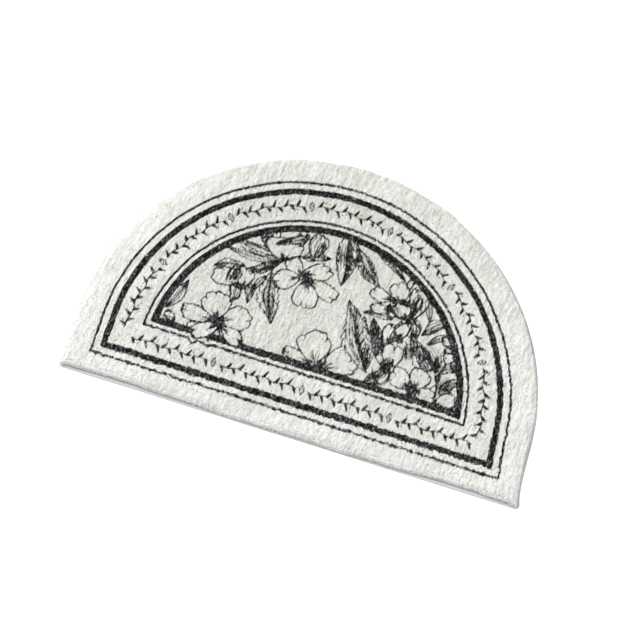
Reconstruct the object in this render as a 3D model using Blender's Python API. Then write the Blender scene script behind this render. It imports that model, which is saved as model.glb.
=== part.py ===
"""A half moon rug: a thick plush panel with one straight edge, and the narrow tape bound round it."""

import bmesh
import bpy
import numpy as np

# Driving dimensions, in metres. +X runs along the straight front edge, +Y points to the top of
# the arc, +Z is up. The origin is on the floor, in the middle of the rug's length and depth.
RUG_WIDTH = 0.800
RUG_DEPTH = 0.500
CORNER_SPREAD = 0.013  # the right-hand corner lies this much further out than the arc's end
CORNER_RADIUS = 0.008
BULGE = 0.011  # on the upper right the cut edge swells out this far beyond a half circle
BULGE_TURN = 0.63  # where it is widest and how far it spreads, in radians from +X
BULGE_SPAN = 0.94
PILE_TOP = 0.0135  # from the floor to the tips of the pile
TAPE_WIDTH = 0.011  # how far the folded tape reaches in over the cloth
TAPE_HEIGHT = 0.0045
GAP = 0.0003  # between the two pieces

# How far in from the tape's outer edge the pile's edge stands, and how it varies.
RIM_INSET = 0.0045
BARE_INSET = 0.0035  # further in along two stretches of the front edge, where more tape shows
BARE_PLACE = 0.78  # their middles, as a share of half the front edge
BARE_SPAN = 0.17
RIM_WAVE = 0.0005
SWELL = 0.0004  # height of the soft unevenness of the top

# Points along the six stretches of the outline, anticlockwise from the arc's right-hand end.
ARC, LEFT_SIDE, LEFT_CORNER, FRONT, RIGHT_CORNER, RIGHT_SIDE = range(6)
STEPS = (76, 6, 4, 48, 4, 10)
STRETCH = np.repeat(range(6), STEPS)
ALONG = np.concatenate([np.arange(n) / n for n in STEPS])


def bulge(turn):
    """How far the edge swells out beyond the half circle, at an angle from +X."""
    return BULGE * np.exp(-(((turn - BULGE_TURN) / BULGE_SPAN) ** 2))


# The arc is a half circle but for the bulge, and the sides run on from its ends to the front edge.
ARC_RADIUS = (RUG_WIDTH - CORNER_SPREAD) / 2
ARC_TURNS = np.pi * ALONG[STRETCH == ARC]
ARC_TOP = np.max((ARC_RADIUS + bulge(ARC_TURNS)) * np.sin(ARC_TURNS))
SIDE_LENGTH = RUG_DEPTH - ARC_TOP
ARC_CENTRE = np.array([ARC_RADIUS - RUG_WIDTH / 2, RUG_DEPTH / 2 - ARC_TOP])

# Section of the panel's edge, from its sole up to the top: the step in from the tape's outer
# edge, the step in from the pile's edge, and the height. A row uses one of the two steps.
PANEL_SECTION = (
    # place, from tape edge, from pile edge, height
    ("sole", TAPE_WIDTH + GAP, None, 0.0),
    ("top of the ground cloth", TAPE_WIDTH + GAP, None, TAPE_HEIGHT + GAP),
    ("under the pile's edge", None, 0.0010, TAPE_HEIGHT + GAP + 0.0006),
    ("pile's edge", None, 0.0, 0.0072),
    ("above the edge", None, 0.0008, 0.0100),
    ("shoulder", None, 0.0036, 0.0124),
    ("top", None, 0.0100, PILE_TOP),
)
# The rings of the top, each a smaller copy of the shoulder's ring about the rug's middle.
TOP_RINGS = (0.92, 0.82, 0.72, 0.62, 0.52, 0.42, 0.32, 0.22, 0.12)
MIDDLE = np.array([0.0, -0.01])

# Closed section of the folded tape: a soft round edge outside, and a flat top.
TAPE_SECTION = (
    # place, step in from the outer edge, height
    ("outer foot", 0.0010, 0.0),
    ("outer edge", 0.0, 0.0014),
    ("over the edge", 0.0003, 0.0030),
    ("fold", 0.0018, 0.0042),
    ("top", 0.0050, TAPE_HEIGHT),
    ("inner top", TAPE_WIDTH, TAPE_HEIGHT),
    ("inner foot", TAPE_WIDTH, 0.0),
)

PILE_COLOUR = "ECEBE6"
TAPE_COLOUR = "D9D9D8"


def outline(inset):
    """(x, y) of every outline point, moved inwards by inset, which is one number or one for each point.
    A half circle with its bulge, then straight sides with round corners; the right side flares out
    just above its corner."""
    inset = np.broadcast_to(inset, len(STRETCH)).astype(float)
    radius = ARC_RADIUS - inset
    corner = np.maximum(CORNER_RADIUS - inset, CORNER_RADIUS / 5)
    side = SIDE_LENGTH - inset - corner
    half_turn = np.pi * ALONG
    round_arc = radius + bulge(half_turn)
    flare = CORNER_SPREAD - bulge(0)
    quarter = half_turn / 2
    front_length = 2 * (radius - corner) + CORNER_SPREAD
    stretches = [STRETCH == n for n in range(6)]
    x = np.select(
        stretches,
        [
            round_arc * np.cos(half_turn),
            -radius,
            -radius + corner * (1 - np.cos(quarter)),
            -radius + corner + front_length * ALONG,
            radius + CORNER_SPREAD - corner * (1 - np.sin(quarter)),
            radius + bulge(0) + flare * (1 - ALONG) ** 5,
        ],
    )
    y = np.select(
        stretches,
        [
            round_arc * np.sin(half_turn),
            -side * ALONG,
            -side - corner * np.sin(quarter),
            -side - corner,
            -side - corner * np.cos(quarter),
            -side * (1 - ALONG),
        ],
    )
    return np.column_stack([x, y]) + ARC_CENTRE


def pile_edge():
    """How far in from the tape's outer edge the pile stands at each point: steady round the arc,
    with a slow wave, and further in where it leaves the tape bare near both ends of the front."""
    turns = np.arange(len(STRETCH)) / len(STRETCH) * 2 * np.pi
    wave = RIM_WAVE * (np.sin(11 * turns) + np.sin(17 * turns + 1.3))
    from_middle = np.abs(2 * ALONG - 1)
    bare = BARE_INSET * np.exp(-(((from_middle - BARE_PLACE) / BARE_SPAN) ** 2))
    return RIM_INSET + wave + np.where(STRETCH == FRONT, bare, 0.0)


def swell(xy):
    """The top's soft unevenness: three slow waves that cross at odd angles."""
    x, y = xy[:, 0], xy[:, 1]
    waves = np.sin(52 * x + 17 * y) + np.sin(71 * y - 23 * x + 0.8) + np.sin(38 * x - 46 * y + 2.1)
    return SWELL * waves


def ring(xy, height):
    """A ring of points at one height, or at one height for each point."""
    return np.column_stack([xy, np.broadcast_to(height, len(xy))])


def panel_rings():
    """The plush panel's rings, from the sole up its edge, round the shoulder and in to the middle."""
    edge = pile_edge()
    rings = []
    for _place, from_tape, from_pile, height in PANEL_SECTION:
        inset = from_tape if from_pile is None else edge + from_pile
        rings.append(ring(outline(inset), height))
    top = rings[-1][:, :2]
    rings[-1][:, 2] += swell(top) / 2
    for share in TOP_RINGS:
        xy = MIDDLE + share * (top - MIDDLE)
        rings.append(ring(xy, PILE_TOP + swell(xy)))
    return rings


def tape_rings():
    """The tape's rings, one for each corner of its closed section."""
    return [ring(outline(inset), height) for _place, inset, height in TAPE_SECTION]


def colour(hex_colour):
    """Linear RGBA of an sRGB hex colour."""
    srgb = np.array([int(hex_colour[i : i + 2], 16) for i in (0, 2, 4)]) / 255
    linear = np.where(srgb <= 0.04045, srgb / 12.92, ((srgb + 0.055) / 1.055) ** 2.4)
    return (*linear.tolist(), 1.0)


def cloth(name, hex_colour, roughness):
    """A matt textile material."""
    material = bpy.data.materials.new(name)
    material.use_nodes = True
    shader = material.node_tree.nodes["Principled BSDF"]
    shader.inputs["Base Color"].default_value = colour(hex_colour)
    shader.inputs["Roughness"].default_value = roughness
    shader.inputs["Metallic"].default_value = 0.0
    return material


def loft(name, rings, closed_section, material, collection):
    """One closed body through rings with the same number of points. A closed section joins its last
    ring to its first; otherwise the first ring gets a flat cap and the last one closes on a point."""
    mesh = bpy.data.meshes.new(name)
    bm = bmesh.new()
    loops = [[bm.verts.new(point) for point in points] for points in rings]
    pairs = list(zip(loops, loops[1:]))
    if closed_section:
        pairs.append((loops[-1], loops[0]))
    for lower, upper in pairs:
        for a, b, c, d in zip(lower, lower[1:] + lower[:1], upper[1:] + upper[:1], upper):
            bm.faces.new((a, b, c, d))
    if not closed_section:
        bm.faces.new(reversed(loops[0]))
        last = loops[-1]
        peak = bm.verts.new(np.mean(rings[-1], axis=0))
        for a, b in zip(last, last[1:] + last[:1]):
            bm.faces.new((a, b, peak))
    bmesh.ops.recalc_face_normals(bm, faces=bm.faces)
    bm.to_mesh(mesh)
    bm.free()
    mesh.materials.append(material)
    mesh.shade_smooth()
    mesh.set_sharp_from_angle(angle=np.radians(50))
    piece = bpy.data.objects.new(name, mesh)
    collection.objects.link(piece)
    return piece


def main():
    for old in list(bpy.data.objects):
        bpy.data.objects.remove(old)
    rug = bpy.data.collections.new("half_moon_rug")
    bpy.context.scene.collection.children.link(rug)
    pile = cloth("plush_pile", PILE_COLOUR, 0.95)
    tape = cloth("binding_tape", TAPE_COLOUR, 0.85)
    loft("plush_panel", panel_rings(), False, pile, rug)
    loft("edge_binding", tape_rings(), True, tape, rug)


main()
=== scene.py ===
# %% [markdown]
# # A half moon rug
#
# A plush rug is a ground cloth with thousands of soft yarn ends standing on it, a pattern that is
# printed down into those ends, and a narrow tape that is folded round the raw edge and sewn. This
# lesson dresses a plain solid of such a rug: the solid says how big the rug is and where it lies,
# and every piece below is made to those sizes.

import bpy
import numpy as np
from mathutils import Matrix, Vector


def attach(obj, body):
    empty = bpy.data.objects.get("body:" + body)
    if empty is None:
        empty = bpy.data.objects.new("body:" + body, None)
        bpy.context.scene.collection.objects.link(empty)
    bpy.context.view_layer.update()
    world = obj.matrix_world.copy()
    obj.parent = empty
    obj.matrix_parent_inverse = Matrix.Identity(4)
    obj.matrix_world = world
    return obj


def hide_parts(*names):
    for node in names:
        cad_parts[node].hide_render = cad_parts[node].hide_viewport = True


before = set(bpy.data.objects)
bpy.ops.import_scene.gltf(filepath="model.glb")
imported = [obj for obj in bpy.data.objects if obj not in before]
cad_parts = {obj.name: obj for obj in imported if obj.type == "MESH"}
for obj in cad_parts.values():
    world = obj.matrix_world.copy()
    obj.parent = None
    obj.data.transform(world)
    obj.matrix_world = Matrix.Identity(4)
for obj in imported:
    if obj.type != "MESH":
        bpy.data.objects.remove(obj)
print("the solid has", len(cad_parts), "pieces")
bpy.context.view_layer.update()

# %% [markdown]
# # The camera
#
# A picture of a flat thing tells where the camera stood: its straight edge and its round one only
# fit one place, one lens and one tilt. It could be found by trial. Here it was worked out from the
# corners and the arc, so it is written as a place, the point it looks at, and how far it is turned
# about its own line of sight.

# %% Set the camera
CAMERA_PLACE = Vector((-0.1101, -1.0033, 2.8806))
CAMERA_AIM = Vector((-0.0078, -0.0408, 0.0135))
CAMERA_TURN = np.radians(23.31)
LENS_MM = 101.25
SENSOR_MM = 36.0


def camera_matrix(place, aim, turn):
    """A level camera at place that looks at aim, then turned anticlockwise about its line of sight."""
    sight = (aim - place).normalized()
    level = sight.cross(Vector((0, 0, 1))).normalized()
    upright = level.cross(sight)
    right = np.cos(turn) * level + np.sin(turn) * upright
    up = np.cos(turn) * upright - np.sin(turn) * level
    return Matrix((right, up, -sight)).transposed().to_4x4()


camera = bpy.data.objects.new("camera", bpy.data.cameras.new("camera"))
camera.data.lens = LENS_MM
camera.data.sensor_width = SENSOR_MM
camera.matrix_world = Matrix.Translation(CAMERA_PLACE) @ camera_matrix(
    CAMERA_PLACE, CAMERA_AIM, CAMERA_TURN
)
bpy.context.scene.collection.objects.link(camera)
bpy.context.scene.camera = camera
print("camera is", round((CAMERA_PLACE - CAMERA_AIM).length, 3), "m from the rug")

# %% [markdown]
# # The outline
#
# The rug is a half circle that runs on in two short straight sides, down to a straight front edge
# with small round corners. The knife that cut the real one swung out a little on the upper right
# and again at the right-hand corner, so the edge isn't parallel to the printed frame there.
# An outline like this could be drawn as a curve object. Writing it as a function of the step
# inwards is handier, because the tape, the cloth and the printed frame all run along it.

# %% Sizes of the rug, in metres
RUG_WIDTH = 0.800
RUG_DEPTH = 0.500
CORNER_SPREAD = 0.013
CORNER_RADIUS = 0.008
BULGE = 0.011
BULGE_TURN = 0.63
BULGE_SPAN = 0.94
PILE_TOP = 0.0135
TAPE_WIDTH = 0.011
TAPE_HEIGHT = 0.0045
GAP = 0.0003


def bulge(turn):
    """How far the edge swells out beyond the half circle, at an angle from +X: a bell curve."""
    return BULGE * np.exp(-(((turn - BULGE_TURN) / BULGE_SPAN) ** 2))


ARC_RADIUS = (RUG_WIDTH - CORNER_SPREAD) / 2
ARC_STEPS = 76  # as many as the solid's arc has
ARC_TURNS = np.pi * np.arange(ARC_STEPS) / ARC_STEPS
ARC_TOP = np.max((ARC_RADIUS + bulge(ARC_TURNS)) * np.sin(ARC_TURNS))
SIDE_LENGTH = RUG_DEPTH - ARC_TOP
ARC_CENTRE = np.array([ARC_RADIUS - RUG_WIDTH / 2, RUG_DEPTH / 2 - ARC_TOP])
FRONT_Y = -RUG_DEPTH / 2
FLARE = CORNER_SPREAD - bulge(0)
print("arc radius", round(ARC_RADIUS, 4), "m, sides", round(SIDE_LENGTH, 4), "m")

# %% The outline as a function of the step inwards
CORNER_LENGTH = np.pi * CORNER_RADIUS / 2
STRETCHES = (
    # name, length
    ("arc", np.pi * ARC_RADIUS),
    ("left side", SIDE_LENGTH),
    ("left corner", CORNER_LENGTH),
    ("front", RUG_WIDTH),
    ("right corner", CORNER_LENGTH),
    ("right side", SIDE_LENGTH),
)
FEWEST = 6  # a short stretch still has this many points


def walk(step):
    """Points about one step apart along the outline, anticlockwise from the arc's right-hand end:
    the number of the stretch that each lies on, and how far along it that is, from 0 to 1."""
    counts = [max(FEWEST, round(length / step)) for _name, length in STRETCHES]
    stretch = np.repeat(range(len(STRETCHES)), counts)
    return stretch, np.concatenate([np.arange(n) / n for n in counts])


def outline(inset, stretch, along):
    """(x, y) of the points of a walk, moved inwards by inset. The arc is radius and bulge times
    cosine and sine of the angle, a corner is a quarter circle, and the rest are straight but for
    the right side, which flares out with the power 5 of the way down."""
    radius = ARC_RADIUS - inset
    corner = np.maximum(CORNER_RADIUS - inset, CORNER_RADIUS / 5)
    side = SIDE_LENGTH - inset - corner
    half_turn = np.pi * along
    round_arc = radius + bulge(half_turn)
    quarter = half_turn / 2
    front_length = 2 * (radius - corner) + CORNER_SPREAD
    stretches = [stretch == n for n in range(len(STRETCHES))]
    x = np.select(
        stretches,
        [
            round_arc * np.cos(half_turn),
            -radius,
            -radius + corner * (1 - np.cos(quarter)),
            -radius + corner + front_length * along,
            radius + CORNER_SPREAD - corner * (1 - np.sin(quarter)),
            radius + bulge(0) + FLARE * (1 - along) ** 5,
        ],
    )
    y = np.select(
        stretches,
        [
            round_arc * np.sin(half_turn),
            -side * along,
            -side - corner * np.sin(quarter),
            -side - corner,
            -side - corner * np.cos(quarter),
            -side * (1 - along),
        ],
    )
    return x + ARC_CENTRE[0], y + ARC_CENTRE[1]


def inset_of(x, y):
    """How far in from the outer edge a point lies, and the direction inwards there. It is the
    nearer of two steps: from the front edge, and from the arc or, below the arc's ends, the sides."""
    east, north = x - ARC_CENTRE[0], y - ARC_CENTRE[1]
    drop = np.maximum(-north, 0) / SIDE_LENGTH
    radial = np.hypot(east, np.maximum(north, 0)) + 1e-9
    swollen = ARC_RADIUS + bulge(np.arctan2(np.maximum(north, 0), east))
    from_round = swollen + np.where(east > 0, FLARE * drop**5, 0) - radial
    from_front = y - FRONT_Y
    front = from_front < from_round
    inward_x = np.where(front, 0, -east / radial)
    inward_y = np.where(front, 1, -np.maximum(north, 0) / radial)
    return np.minimum(from_front, from_round), inward_x, inward_y


print(len(walk(0.002)[0]), "points at 2 mm go once round the rug")

# %% [markdown]
# # Noise that repeats
#
# Cloth is never even: dye wanders, yarn leans and locks form. Each of these wants a smooth random
# number that depends on the place. Blender has noise functions, but they take one point at a time.
# A small table of random numbers, blended between its entries, does the whole array at once. The
# last number that a field is given is the seed of its table: another seed gives another field, and
# the same seed gives the same one again.

# %% A smooth random field
LATTICE = 256


def field(x, y, size, seed):
    """Smooth random number from -1 to 1 that changes over about size. A lattice of random numbers,
    blended across each square with the weight 3t^2 - 2t^3."""
    table = np.random.default_rng(seed).uniform(-1, 1, (LATTICE, LATTICE))
    u, v = np.broadcast_arrays(x / size + LATTICE / 2, y / size + LATTICE / 2)
    column, row = np.floor(u).astype(int), np.floor(v).astype(int)
    s, t = u - column, v - row
    s, t = s * s * (3 - 2 * s), t * t * (3 - 2 * t)

    def corner(right, up):
        return table[(row + up) % LATTICE, (column + right) % LATTICE]

    low = corner(0, 0) * (1 - s) + corner(1, 0) * s
    high = corner(0, 1) * (1 - s) + corner(1, 1) * s
    return low * (1 - t) + high * t


print("a field, read at four places:", field(np.arange(4.0), 0.0, 2.0, 1).round(2))

# %% [markdown]
# # The print
#
# The pattern is printed on the finished pile in one dark ink: a frame of lines that follows the
# rug's own outline, a garland between them, and pen drawings of blossoms in the middle. It could
# be an image, but a drawing made of pen strokes stays editable and needs no file. The canvas below
# is an array of ink, half a millimetre a cell. A pen stroke stamps small discs along a line, and a
# petal wipes what lies behind it before its edge is drawn. The print was laid out on a half moon of
# its own, with a true arc, and the rug was cut round it afterwards.

# %% An empty canvas, in millimetres
CELL = 0.5
CANVAS_WIDTH, CANVAS_DEPTH = 840.0, 540.0
columns, rows = int(CANVAS_WIDTH / CELL), int(CANVAS_DEPTH / CELL)
ink = np.zeros((rows, columns), np.float32)
chance = np.random.default_rng(11)

PRINT_RADIUS = 393.5
PRINT_CENTRE = np.array([-6.5, -143.5])
PRINT_FRONT = -250.0
PRINT_SPREAD = 13.0  # the print too is wider at the right-hand corner
PRINT_PLACE = ARC_CENTRE - PRINT_CENTRE / 1000  # where the canvas's origin lies on the rug
PRINT_SIDE = PRINT_CENTRE[1] - PRINT_FRONT
print("canvas of", columns, "by", rows, "cells")


def print_step(x, y):
    """How far a place of the canvas lies inside the print's half moon, in millimetres: the nearer
    of the steps from its front line and from its arc. Where that is the arc, also the cosine of
    the angle there, and 0 where it is the front."""
    east, north = x - PRINT_CENTRE[0], y - PRINT_CENTRE[1]
    radial = np.hypot(east, np.maximum(north, 0)) + 1e-9
    spread = np.where(east > 0, PRINT_SPREAD * (np.maximum(-north, 0) / PRINT_SIDE) ** 1.5, 0)
    from_round = PRINT_RADIUS + spread - radial
    from_front = y - PRINT_FRONT
    sideways = np.where(from_round < from_front, east / radial, 0)
    return np.minimum(from_front, from_round), sideways


def to_cells(x, y):
    """Column and row of a place in millimetres, as fractions."""
    return (x + CANVAS_WIDTH / 2) / CELL - 0.5, (y + CANVAS_DEPTH / 2) / CELL - 0.5


# %% The pen and the wipe
def pen(x, y, width, strength=1.0):
    """Stamps a disc at each point. A disc is full inside half its width and fades over one cell,
    and where strokes cross the darker one stays. A set of strokes may be empty, so the widest
    starts at 1."""
    x, y, width, strength = (np.ravel(a) for a in np.broadcast_arrays(x, y, width, strength))
    column, row = to_cells(x, y)
    reach = int(np.ceil(width.max(initial=1) / 2 / CELL)) + 1
    middle_column, middle_row = np.round(column).astype(int), np.round(row).astype(int)
    for right in range(-reach, reach + 1):
        for up in range(-reach, reach + 1):
            far = np.hypot(middle_column + right - column, middle_row + up - row)
            value = strength * np.clip(width / 2 / CELL - far + 0.5, 0, 1)
            cell_row = np.clip(middle_row + up, 0, rows - 1)
            cell_column = np.clip(middle_column + right, 0, columns - 1)
            np.maximum.at(ink, (cell_row, cell_column), value.astype(np.float32))


def wipe(x, y):
    """Clears the inside of a closed line. A cell is inside if a ray from it crosses the line an odd
    number of times."""
    column, row = to_cells(x, y)
    low_column, high_column = int(column.min()), int(column.max()) + 2
    low_row, high_row = int(row.min()), int(row.max()) + 2
    across, up = np.meshgrid(np.arange(low_column, high_column), np.arange(low_row, high_row))
    next_column, next_row = np.roll(column, -1), np.roll(row, -1)
    above = row[:, None, None] > up
    next_above = next_row[:, None, None] > up
    slope = (next_column - column) / (next_row - row + 1e-9)
    crossing = column[:, None, None] + slope[:, None, None] * (up - row[:, None, None])
    inside = ((above != next_above) & (across < crossing)).sum(0) % 2 == 1
    ink[low_row:high_row, low_column:high_column][inside] = 0


# %% [markdown]
# # Petals and leaves
#
# Every blossom here is made of the same few marks. A petal is a closed line from its base to its
# tip, wider beyond the middle, with a ripple along the rim and a few veins. A leaf has a midrib, a
# toothed edge and slanting hatch, denser on its shaded half. Each mark is one function of where it
# starts and where it ends, and short tables then say where the marks go.

# %% A petal
PEN_WIDTH = 1.95
FINE_WIDTH = 1.3


def along_line(base, tip, u, v):
    """Places (u, v), with u from 0 at base to 1 at tip and v in millimetres to the left, on the rug."""
    base, tip = np.array(base, float), np.array(tip, float)
    length = np.hypot(*(tip - base))
    ahead = (tip - base) / length
    return (
        base[0] + ahead[0] * length * u - ahead[1] * v,
        base[1] + ahead[1] * length * u + ahead[0] * v,
    )


def petal(base, tip, width, veins=2):
    """A round petal: u is the raised cosine of the turn and v its sine, a little wider towards the
    tip. Both ripple with two sines of their own phase, and the rim has two small nicks."""
    turn = np.linspace(-np.pi, np.pi, 300, endpoint=False)
    phases = chance.uniform(0, 2 * np.pi, 4)
    outer = 0.5 + 0.5 * np.cos(turn)
    ripple = 0.03 * np.sin(4 * turn + phases[0]) + 0.022 * np.sin(9 * turn + phases[1])
    nicks = [0.9 * np.sin(phases[2]), 0.5 * np.sin(phases[3]) - 0.4]
    nick = sum(np.exp(-(((turn - place) / 0.1) ** 2)) for place in nicks)
    u = outer**0.9 * (1 + ripple * outer - 0.08 * nick)
    v = width / 2 * np.sin(turn) * (1 + 0.2 * np.cos(turn)) * (1 + ripple - 0.08 * nick)
    x, y = along_line(base, tip, u, v)
    wipe(x, y)
    pressure = 1 + 0.2 * np.sin(3 * turn + phases[2]) + 0.12 * np.sin(23 * turn + phases[3])
    pen(x, y, PEN_WIDTH * pressure)
    spread = chance.uniform(-0.8, 0.8, (veins, 1))
    far = chance.uniform(0.25, 0.5, (veins, 1))
    s = np.linspace(0.14, 1, 50)
    x, y = along_line(base, tip, far * s, width / 2 * spread * (far * s) ** 0.8)
    pen(x, y, FINE_WIDTH, 0.8)
    spread = chance.uniform(-0.75, 0.75, (4, 1))
    far = chance.uniform(0.14, 0.3, (4, 1))
    x, y = along_line(base, tip, 0.04 + far * s, width / 2 * spread * (0.04 + far * s) ** 0.6)
    pen(x, y, FINE_WIDTH, 0.8)
    nearest = np.abs(turn - np.array(nicks)[:, None]).argmin(1)[:, None]
    s = np.linspace(0, 1, 24)
    x, y = along_line(base, tip, u[nearest] * (1 - 0.16 * s), v[nearest] * (1 - 0.16 * s))
    pen(x, y, FINE_WIDTH)


def heart(x, y, reach, strokes=50):
    """The dark middle of a blossom: short bent strokes that run outwards from near the centre, some
    of them with a dot at the end, over a smaller knot of strokes that lie every way."""
    turn = chance.uniform(0, 2 * np.pi, (strokes, 1))
    start = reach * chance.uniform(0.05, 0.5, (strokes, 1))
    end = start + reach * chance.uniform(0.2, 0.55, (strokes, 1))
    s = np.linspace(0, 1, 24)
    radius = start + (end - start) * s
    bend = turn + chance.uniform(-0.5, 0.5, (strokes, 1)) * s
    press = chance.uniform(0.7, 1.0, (strokes, 1))
    pen(x + radius * np.cos(bend), y + radius * np.sin(bend), 1.0, press)
    tips = slice(0, strokes // 4)
    pen(
        x + end[tips, 0] * np.cos(bend[tips, -1]),
        y + end[tips, 0] * np.sin(bend[tips, -1]),
        1.7,
    )
    knot = strokes // 2
    from_x, from_y = chance.normal(0, reach * 0.22, (2, knot, 1))
    way = chance.uniform(0, 2 * np.pi, (knot, 1))
    pen(x + from_x + 3.2 * s * np.cos(way), y + from_y + 3.2 * s * np.sin(way), 1.1)


# %% A leaf
HATCH_WIDTH = 1.25
HATCH_STEP = 5.2  # the hatch has a stroke for this much of the leaf's length
SHADED_STEP, PLAIN_STEP = 24, 13  # and there is a long stroke for this much of its width


def leaf(base, tip, width, bend=0.0, shaded=1, teeth=8, closeness=1.0):
    """A pointed leaf. Its half width is a sine that leans to the base, cut by a number of teeth and
    rippled, about a midrib that bows by bend millimetres and sways by a second sine. Long strokes
    follow the rim at shares of the half width. On a shaded half there is also hatch, from the
    midrib to the rim, and closeness multiplies its number of strokes. shaded is that half: 1 left,
    -1 right, 2 both and 0 none."""
    length = np.hypot(tip[0] - base[0], tip[1] - base[1])
    u = np.linspace(0, 1, 240)
    phase = chance.uniform(0, 2 * np.pi, 3)

    def half_width(u, side, toothed=True):
        smooth = np.sin(np.pi * u**0.8) ** 0.9
        saw = 1 - (0.22 * ((u * teeth + phase[0]) % 1) if toothed else 0.11)
        return width / 2 * smooth * saw * (1 + 0.13 * np.sin(8 * u + side * phase[1]))

    def rib(u):
        sway = 0.05 * width * np.sin(2 * np.pi * u + phase[2])
        return (bend + sway) * np.sin(np.pi * u)

    sides = [along_line(base, tip, u, rib(u) + side * half_width(u, side)) for side in (1, -1)]
    wipe(*(np.concatenate([left, right[::-1]]) for left, right in zip(*sides)))
    for x, y in sides:
        pen(x, y, PEN_WIDTH * 0.8)
    pen(*along_line(base, tip, u, rib(u)), 1.5)
    for side in (1, -1):
        hatched = shaded in (side, 2)
        long = int(width / (SHADED_STEP if hatched else PLAIN_STEP))
        share = (np.arange(long)[:, None] + chance.uniform(0.6, 1.0, (long, 1))) / (long + 0.5)
        begin = chance.uniform(0.04, 0.25, (long, 1))
        run = begin + (chance.uniform(0.6, 0.95, (long, 1)) - begin) * np.linspace(0, 1, 120)
        off = side * share * half_width(run, side, False) * (1 + 0.08 * np.sin(13 * run + phase[1]))
        pen(*along_line(base, tip, run, rib(run) + off), HATCH_WIDTH, 0.9)
        if not hatched:
            continue
        count = int(closeness * length / HATCH_STEP)
        start = np.linspace(0.0, 0.76, count)[:, None] + chance.uniform(-0.02, 0.02, (count, 1))
        reach = chance.uniform(0.45, 1.0, (count, 1))
        s = reach * np.linspace(0, 1, 40)
        slant = start + 0.6 * width / length * s + chance.uniform(-0.03, 0.03, (count, 1)) * s
        room = half_width(np.clip(slant, 0, 1), side, False)
        press = chance.uniform(0.75, 1.0, (count, 1))
        off = side * room * s**1.2
        thick = HATCH_WIDTH * (0.6 + 0.8 * room / width)
        pen(*along_line(base, tip, slant, rib(slant) + off), thick, press)


# %% A tuft of long strokes
def tuft(base, tip, width, count, bow=0.0, thick=HATCH_WIDTH):
    """Long strokes from base towards tip, with no outline: each bows out to its own share of the
    half width as a sine, on top of the bow they share, and begins and ends at its own place."""
    share = np.linspace(-1, 1, count)[:, None] + chance.uniform(-0.25, 0.25, (count, 1))
    begin = chance.uniform(0.0, 0.3, (count, 1))
    end = chance.uniform(0.7, 1.0, (count, 1))
    u = begin + (end - begin) * np.linspace(0, 1, 80)
    v = width / 2 * share * np.sin(np.pi * (0.08 + 0.84 * u)) + bow * np.sin(np.pi * u)
    swell = 0.6 + 0.4 * np.sin(np.pi * np.linspace(0, 1, 80))
    pen(*along_line(base, tip, u, v), thick * swell, chance.uniform(0.75, 1.0, (count, 1)))


# %% [markdown]
# # Where the flowers stand
#
# The drawing is a spray from either side with open ground between. Each row of these tables is one
# mark with its base, its tip and its width in millimetres, on the rug's own axes. Rows that come
# later lie in front. The places follow the loose order of such a print, and the shapes are the
# functions above, so no two petals are alike and none is copied.

# %% Leaves that lie behind
LEAVES = (
    # base x, base y, tip x, tip y, width, bow, shaded half, closeness of the hatch
    (-262, -96, -238, -38, 20, -4, 0, 1.0),
    (-97, 45, -186, 62, 25, 6, 0, 1.0),
    (-98, 42, -202, 40, 12, 6, 0, 1.0),
    (-94, 46, -152, 96, 23, 3, 2, 1.1),
    (-106, 34, -149, 13, 18, 3, 2, 0.9),
    (-116, 10, -134, -34, 10, -3, 0, 1.0),
    (-110, 18, -85, -69, 38, -3, 2, 0.85),
    (-66, 62, -20, 74, 18, 2, 2, 0.7),
    (-2, 124, 9, 33, 40, 3, 1, 1.85),
    (20, 106, 74, 50, 27, -4, -1, 1.3),
    (54, 112, 114, 74, 13, 3, 1, 0.8),
    (157, 62, 173, 16, 11, 0, 0, 1.0),
    (198, 28, 164, -8, 21, -2, 0, 1.0),
    (204, 4, 178, -20, 12, 0, 1, 0.9),
    (110, 4, 58, 1, 12, -3, 0, 1.0),
    (102, -68, 78, -4, 26, -3, 2, 0.7),
    (212, -74, 146, -10, 31, 9, 1, 0.8),
    (190, -92, 200, -34, 13, -5, 0, 1.0),
    (212, -62, 246, -42, 17, 4, 0, 1.0),
    (218, -99, 250, -60, 19, 2, 0, 1.0),
    (128, -80, 92, -118, 27, 4, -1, 0.9),
    (144, 18, 156, -18, 19, 2, 1, 0.9),
)
for row in LEAVES:
    leaf(row[0:2], row[2:4], *row[4:7], closeness=row[7])
print(len(LEAVES), "leaves")

# %% Blossoms
BLOSSOMS = (
    # name, then for each petal: base x, base y, tip x, tip y, width
    ("low left", (-176, -98, -214, -124, 34), (-168, -98, -124, -118, 30), (-180, -94, -236, -88, 27),
     (-166, -90, -120, -68, 42), (-174, -88, -188, -44, 49)),
    ("upper left", (-58, 34, -12, 52, 30), (-44, 24, 9, 8, 29), (-60, 32, -90, 54, 27),
     (-62, 26, -102, 6, 34), (-50, 20, -38, -25, 43)),
    ("front middle", (0, -112, -54, -104, 18), (4, -110, -12, -58, 56), (22, -114, 68, -80, 50)),
    ("upper right", (118, 58, 125, 84, 10), (140, 16, 148, 68, 32), (136, 32, 133, 69, 14),
     (143, 28, 147, 54, 11), (114, 36, 104, 70, 33), (98, 36, 61, 41, 24), (102, 16, 67, 14, 17),
     (130, 10, 112, 37, 32)),
    ("right middle", (130, -26, 129, 4, 24), (111, -46, 108, -5, 20), (118, -80, 102, -60, 15),
     (126, -78, 125, -38, 36)),
    ("right edge", (220, -2, 201, -6, 18), (226, -22, 208, -20, 12), (230, -30, 210, -34, 18)),
    ("low right", (186, -98, 208, -62, 26), (178, -104, 214, -114, 30), (166, -104, 133, -82, 35),
     (176, -100, 185, -65, 36), (218, -118, 248, -100, 30)),
)
for _name, *petals in BLOSSOMS:
    for row in petals:
        petal(row[0:2], row[2:4], row[4])
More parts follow.
